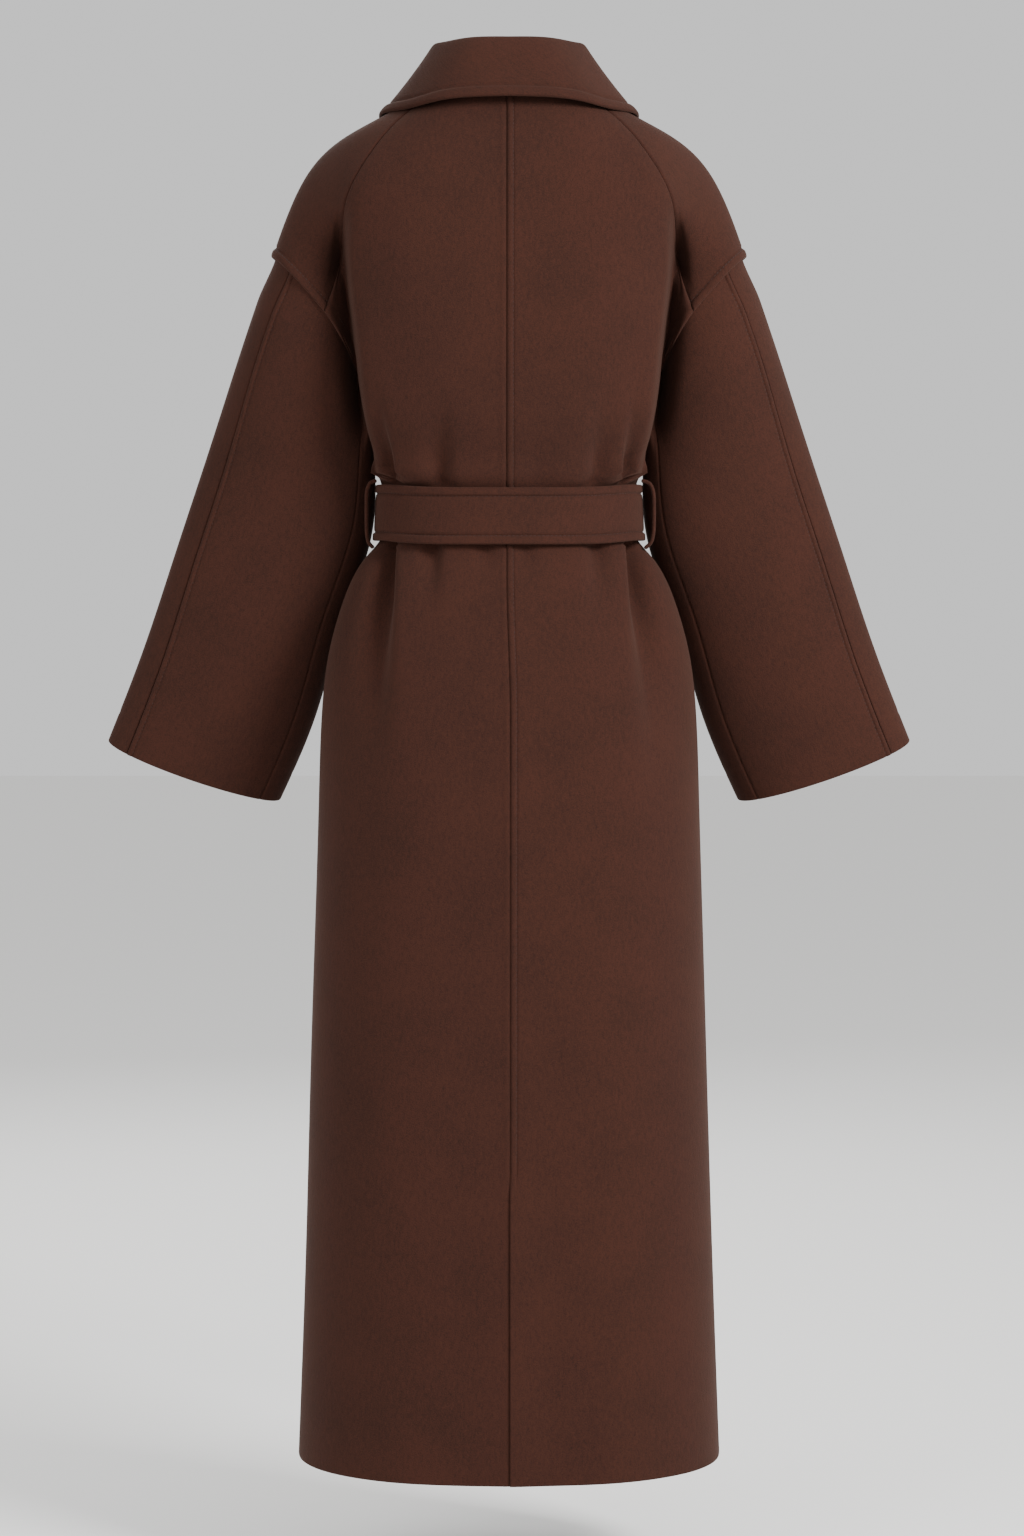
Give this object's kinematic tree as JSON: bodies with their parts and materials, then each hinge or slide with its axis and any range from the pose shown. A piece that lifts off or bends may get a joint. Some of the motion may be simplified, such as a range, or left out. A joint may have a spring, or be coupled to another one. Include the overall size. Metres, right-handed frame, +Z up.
{
  "type": "maxi coat",
  "caption": "Long belted coat in thick dark brown wool, worn open-hollow, with a fold-over collar, dropped shoulders and wide two-piece sleeves.",
  "frame": {"origin": "centre line of the coat at the height of the nape seam, inside the neck opening, where the wearer's neck and shoulders carry it", "axes": "+Z up, the front of the coat faces -Y, the wearer's left is +X"},
  "size_m": [0.8098, 0.3154, 1.401],
  "materials": {
    "coat_cloth": "matt felted double-faced wool, dark chocolate brown",
    "collar_cloth": "matt felted double-faced wool, two layers pressed together",
    "belt_cloth": "matt felted double-faced wool, turned and topstitched"
  },
  "bodies": {
    "root": {"back_left": "coat_cloth", "back_right": "coat_cloth", "front_left": "coat_cloth", "front_right": "coat_cloth", "shoulder_left": "coat_cloth", "shoulder_right": "coat_cloth", "sleeve_under_left": "coat_cloth", "sleeve_under_right": "coat_cloth", "sleeve_upper_left": "coat_cloth", "sleeve_upper_right": "coat_cloth", "collar": "collar_cloth", "lapel_left": "coat_cloth", "lapel_right": "coat_cloth", "belt_band": "belt_cloth", "belt_knot": "belt_cloth", "belt_end_left": "belt_cloth", "belt_end_right": "belt_cloth", "belt_loop_left": "belt_cloth", "belt_loop_right": "belt_cloth"}
  },
  "joints": []
}
